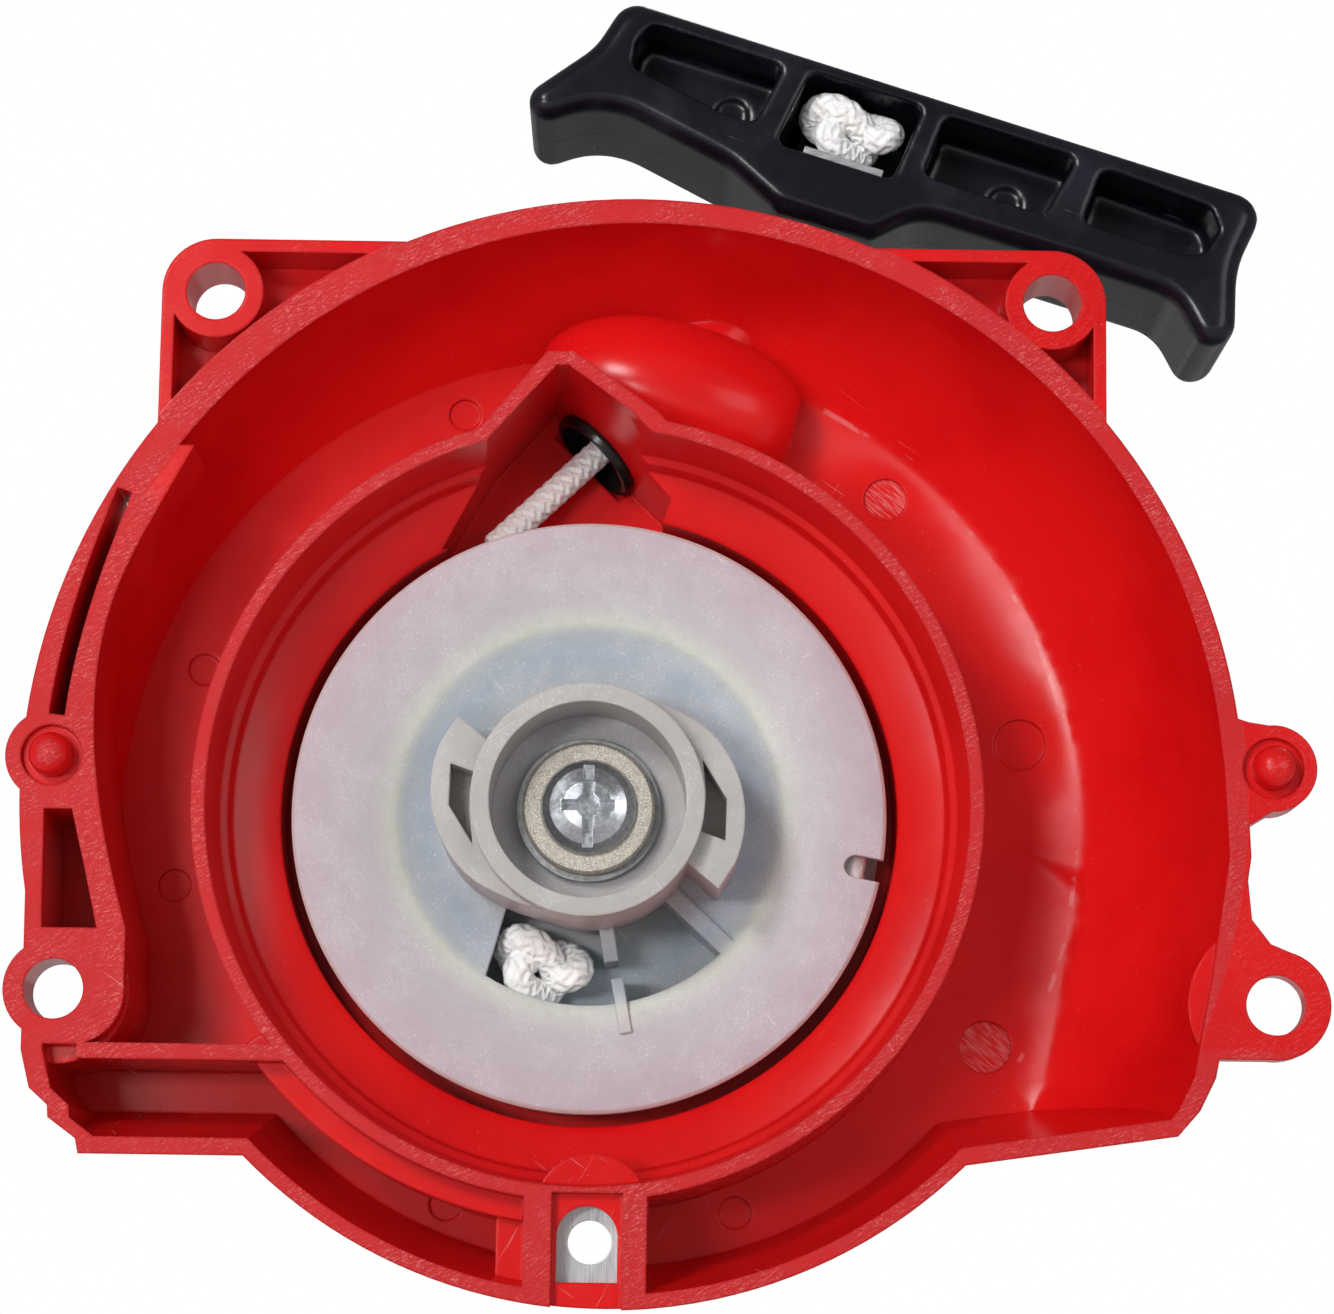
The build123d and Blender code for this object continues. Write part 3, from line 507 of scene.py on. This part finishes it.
def softened(name, node, voxel, rounds, body):
    """Copy of a CAD node with all its edges well rounded, as on a thick soft moulding."""
    piece = welded(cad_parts[node])
    piece.name = name
    remesh = piece.modifiers.new("remesh", "REMESH")
    remesh.mode = "VOXEL"
    remesh.voxel_size = voxel
    soften = piece.modifiers.new("soften", "SMOOTH")
    soften.factor = 0.5
    soften.iterations = rounds
    graph = bpy.context.evaluated_depsgraph_get()
    mesh = bpy.data.meshes.new_from_object(piece.evaluated_get(graph))
    piece.modifiers.clear()
    piece.data = mesh
    mesh.shade_smooth()
    cover(piece, NODE_MATERIALS[node])
    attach(piece, body)
    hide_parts(node)
    return piece


softened("handle_moulding", "handle_grip", 0.34 * MM, 14, "handle")


# ---------------------------------------------------------------- rope pieces

AROUND = 40  # points round the rope
STRANDS = 6  # strands each way round the rope
PITCH = 9.0 * MM  # length in which a strand goes once round
RELIEF = 0.25  # height of the strands, as a share of the rope's radius


def braid_height(angle, along):
    """Height of the braid's surface, 0 in a groove to 1 on a strand."""
    twist = math.tau * along / PITCH
    right = math.cos(STRANDS / 2 * (angle + twist))
    left = math.cos(STRANDS / 2 * (angle - twist))
    over = math.sin(STRANDS / 2 * (angle + twist)) * math.sin(STRANDS / 2 * (angle - twist)) > 0
    return abs(right) if over else abs(left)


def frames_along(points):
    """Tangent and a steady side direction at each point of a path."""
    tangents = []
    for index in range(len(points)):
        before = points[max(index - 1, 0)]
        after = points[min(index + 1, len(points) - 1)]
        tangents.append((after - before).normalized())
    side = tangents[0].orthogonal().normalized()
    sides = []
    for tangent in tangents:
        side = (side - tangent * side.dot(tangent)).normalized()
        sides.append(side.copy())
    return tangents, sides


def braided(name, points, radius=ROPE_R, relief=RELIEF):
    """Mesh of a braided rope along a path, closed at both ends."""
    tangents, sides = frames_along(points)
    vertices = []
    along = 0.0
    for index, centre in enumerate(points):
        if index:
            along += (centre - points[index - 1]).length
        across = tangents[index].cross(sides[index])
        for step in range(AROUND):
            angle = math.tau * step / AROUND
            reach = radius * (1 - relief * (1 - braid_height(angle, along)))
            out = sides[index] * math.cos(angle) + across * math.sin(angle)
            vertices.append(centre + out * reach)
    faces = []
    for row in range(len(points) - 1):
        for step in range(AROUND):
            following = (step + 1) % AROUND
            low = row * AROUND
            faces.append((low + step, low + following, low + AROUND + following, low + AROUND + step))
    faces.append(tuple(reversed(range(AROUND))))
    faces.append(tuple(range(len(vertices) - AROUND, len(vertices))))
    mesh = bpy.data.meshes.new(name)
    mesh.from_pydata(vertices, [], faces)
    mesh.shade_smooth()
    mesh.validate()
    piece = bpy.data.objects.new(name, mesh)
    bpy.context.scene.collection.objects.link(piece)
    cover(piece, ROPE)
    return piece


def straight(start, end, spacing):
    """Evenly spaced points on the rope's line, between two distances from the guide."""
    count = max(2, round((end - start) / spacing))
    return [GUIDE + PULL * (start + (end - start) * index / count) for index in range(count + 1)]


FINE = 0.14 * MM


def rope_exit():
    """The rope where it can be seen between the coil and the guide: it stays there as it runs."""
    piece = braided("rope_exit", straight(RUN_START, SPAN_START, FINE), radius=ROPE_R * 1.08)
    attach(piece, "housing")
    return piece


def rope_span():
    """The rope from the guide to the handle, left unattached to any body; on the starter this stretch
    gets longer as the handle is pulled.
    """
    piece = braided("rope_span", straight(SPAN_START, SPAN_END, FINE), relief=0.05)
    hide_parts("rope_run")
    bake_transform(piece)
    return piece


def grip_point(u, v, y=0.0):
    """Place on the handle: u along the bar, v up the stem, y back from its middle, in millimetres."""
    cos, sin = math.cos(GRIP_TILT), math.sin(GRIP_TILT)
    return GRIP_MID + Vector((u * cos + v * sin, y, v * cos - u * sin)) * MM


def rope_end():
    """The rope's bend into the handle's stem."""
    start = GUIDE + PULL * SPAN_END
    corner = GUIDE + PULL * STEM_MOUTH
    end = grip_point(0.2, -3.4)
    count = 90
    points = []
    for index in range(count + 1):
        t = index / count
        points.append(start * (1 - t) ** 2 + corner * (2 * t * (1 - t)) + end * t**2)
    piece = braided("rope_end", points)
    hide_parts("rope_tail")
    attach(piece, "handle")
    return piece


def wound_rope():
    """The turns on the reel, side by side in three layers."""
    layers = (24.35, 27.05, 29.75)
    half_width = 1.75
    per_turn = 260
    turns = len(layers) * 2
    points = []
    for index in range(turns * per_turn + 1):
        turn = index / per_turn
        layer = min(int(turn / 2), len(layers) - 1)
        within = turn / 2 - layer
        radius = layers[layer]
        if layer + 1 < len(layers):
            radius += (layers[layer + 1] - radius) * smooth(within, 0.9, 1.0)
        side = smooth(within, 0.40, 0.55) * 2 - 1
        if layer % 2:
            side = -side
        angle = math.tau * turn
        points.append(
            Vector(
                (
                    radius * math.cos(angle) * MM,
                    GROOVE_MIDDLE_Y - side * half_width * MM,
                    -radius * math.sin(angle) * MM,
                )
            )
        )
    piece = braided("wound_rope", points)
    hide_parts("rope_coil")
    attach(piece, "reel")
    return piece


def smooth(value, low, high):
    t = min(max((value - low) / (high - low), 0.0), 1.0)
    return t * t * (3 - 2 * t)


KNOT_ROPE_R = 1.75 * MM
KNOT_RELIEF = 0.22
KNOT_TAIL = (0.9, 0.3, -0.3)


def knotted(name, centre, size, turn, tail=KNOT_TAIL):
    """Tight overhand knot within a box of the given half sizes, with the rope's cut end beside it."""
    count = 420
    points = []
    for index in range(count + 1):
        t = 0.30 + (math.tau - 0.6) * index / count
        loop = Vector(
            (
                (math.sin(t) + 2 * math.sin(2 * t)) / 3,
                -math.sin(3 * t),
                (math.cos(t) - 2 * math.cos(2 * t)) / 3,
            )
        )
        points.append(Vector([a * b * MM for a, b in zip(loop, size)]))
    last = points[-1]
    points.extend(last + Vector(tail) * MM * (step / 12) for step in range(1, 13))
    lean = Matrix.Rotation(turn, 3, "Y")
    return braided(name, [centre + lean @ point for point in points], KNOT_ROPE_R, KNOT_RELIEF)


def reel_end_knot():
    piece = knotted("reel_end_knot", Vector((-5.2, 16.6, -16.4)) * MM, (4.6, 1.6, 3.0), math.radians(20))
    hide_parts("reel_knot")
    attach(piece, "reel")
    return piece


def grip_knot():
    piece = knotted("grip_knot", grip_point(-0.3, 0.75, -5.9), (5.0, 1.7, 2.6), GRIP_TILT)
    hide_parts("handle_knot")
    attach(piece, "handle")
    return piece


exit_rope = rope_exit()
span = rope_span()
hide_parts("rope_run")
rope_end()
wound_rope()
reel_end_knot()
grip_knot()


# ---------------------------------------------------------------- stage, light and camera


FLOOR_HALF = 3.0
FLOOR_GAP = 4 * MM  # room between the object and the floor


def floor():
    """Plain pale floor just under the object."""
    size = FLOOR_HALF
    level = cad_box[0].z - FLOOR_GAP
    mesh = bpy.data.meshes.new("floor")
    corners = [(-size, -size, level), (size, -size, level), (size, size, level), (-size, size, level)]
    mesh.from_pydata(corners, [], [(0, 1, 2, 3)])
    piece = bpy.data.objects.new("floor", mesh)
    bpy.context.scene.collection.objects.link(piece)
    paint = Paint("floor", roughness=0.8)
    paint.set("Base Color", paint.mix(paint.noise(0.01), (0.86, 0.86, 0.86), (0.90, 0.90, 0.90)))
    cover(piece, paint.material)


LIT_POINT = (0.0, 0.01, 0.01)  # what every light points at


def area_light(name, place, target, size, power):
    light = bpy.data.lights.new(name, "AREA")
    light.shape = "RECTANGLE"
    light.size, light.size_y = size
    light.energy = power
    lamp = bpy.data.objects.new(name, light)
    lamp.location = place
    lamp.rotation_mode = "QUATERNION"
    lamp.rotation_quaternion = (Vector(target) - Vector(place)).to_track_quat("-Z", "Y")
    bpy.context.scene.collection.objects.link(lamp)


def white_world(light_strength):
    """White behind the object, and softer all-round light on it."""
    world = bpy.data.worlds.new("studio")
    bpy.context.scene.world = world
    world.use_nodes = True
    nodes, links = world.node_tree.nodes, world.node_tree.links
    nodes.clear()
    output = nodes.new("ShaderNodeOutputWorld")
    background = nodes.new("ShaderNodeBackground")
    rays = nodes.new("ShaderNodeLightPath")
    strength = nodes.new("ShaderNodeMapRange")
    strength.inputs["To Min"].default_value = light_strength
    strength.inputs["To Max"].default_value = 1.0
    links.new(rays.outputs["Is Camera Ray"], strength.inputs["Value"])
    links.new(strength.outputs[0], background.inputs["Strength"])
    background.inputs["Color"].default_value = (1, 1, 1, 1)
    links.new(background.outputs[0], output.inputs[0])


CAMERA_PLACE = (6.437, -438.710, -56.029)  # in millimetres
CAMERA_ANGLES = (0.245, 9.3, 0.78)  # yaw, pitch and roll, in degrees
LENS = 110.9


def camera():
    """Camera in front of the open side, a little below the axis and looking slightly up."""
    yaw, pitch, roll = (math.radians(angle) for angle in CAMERA_ANGLES)
    ahead = Vector((math.sin(yaw) * math.cos(pitch), math.cos(yaw) * math.cos(pitch), math.sin(pitch)))
    right = ahead.cross(Vector((0, 0, 1))).normalized()
    up = right.cross(ahead)
    turned_right = right * math.cos(roll) + up * math.sin(roll)
    turned_up = up * math.cos(roll) - right * math.sin(roll)
    data = bpy.data.cameras.new("camera")
    data.sensor_width = 36.0
    data.lens = LENS
    data.clip_start = 0.01
    data.clip_end = 20.0
    eye = bpy.data.objects.new("camera", data)
    eye.matrix_world = Matrix(
        (
            (turned_right.x, turned_up.x, -ahead.x, CAMERA_PLACE[0] * MM),
            (turned_right.y, turned_up.y, -ahead.y, CAMERA_PLACE[1] * MM),
            (turned_right.z, turned_up.z, -ahead.z, CAMERA_PLACE[2] * MM),
            (0, 0, 0, 1),
        )
    )
    bpy.context.scene.collection.objects.link(eye)
    bpy.context.scene.camera = eye


floor()
white_world(0.24)
for light_name, light_place, light_size, watts in (
    ("key", (-0.46, -1.00, 0.42), (0.22, 0.22), 5.5),
    ("side", (-0.40, -0.90, 0.00), (0.30, 0.10), 2.8),
    ("fill", (0.65, -0.95, 0.15), (0.5, 0.5), 2.0),
    ("back", (0.4, 0.9, 0.7), (0.6, 0.6), 4.0),
):
    area_light(light_name, light_place, LIT_POINT, light_size, watts)
camera()
bpy.context.scene.view_settings.view_transform = "Standard"
